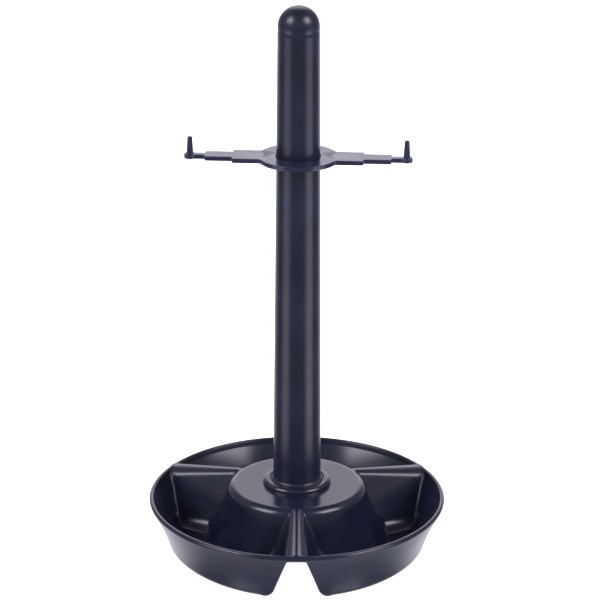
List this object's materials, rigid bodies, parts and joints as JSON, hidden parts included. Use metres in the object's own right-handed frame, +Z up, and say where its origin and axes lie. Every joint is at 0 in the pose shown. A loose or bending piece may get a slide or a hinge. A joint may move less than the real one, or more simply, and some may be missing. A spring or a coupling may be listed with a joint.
{
  "type": "serving tower",
  "caption": "Table-top serving tower: a tray with three compartments, a tall tapered post and a lift-off hanger plate with two pegs.",
  "frame": {"origin": "on the surface the tray stands on, under the post's axis", "axes": "+Z up along the post, -Y towards the front divider, +X to the right seen from the front"},
  "size_m": [0.216, 0.216, 0.4069],
  "materials": {
    "tray_plastic": "satin-gloss moulded navy polypropylene",
    "post_plastic": "satin-gloss moulded navy polypropylene",
    "hanger_plastic": "satin-gloss moulded navy polypropylene"
  },
  "bodies": {
    "tray": {"compartment_tray": "tray_plastic"},
    "post": {"post": "post_plastic"},
    "hanger": {"hanger": "hanger_plastic"}
  },
  "joints": [
    {"name": "post_turn", "type": "hinge", "parent": "tray", "child": "post", "pos_m": [0, 0, 0.046], "axis": [0, 0, 1], "continuous": true},
    {"name": "hanger_lift", "type": "slide", "parent": "post", "child": "hanger", "axis": [0, 0, 1], "range_m": [0, 0.13]}
  ]
}
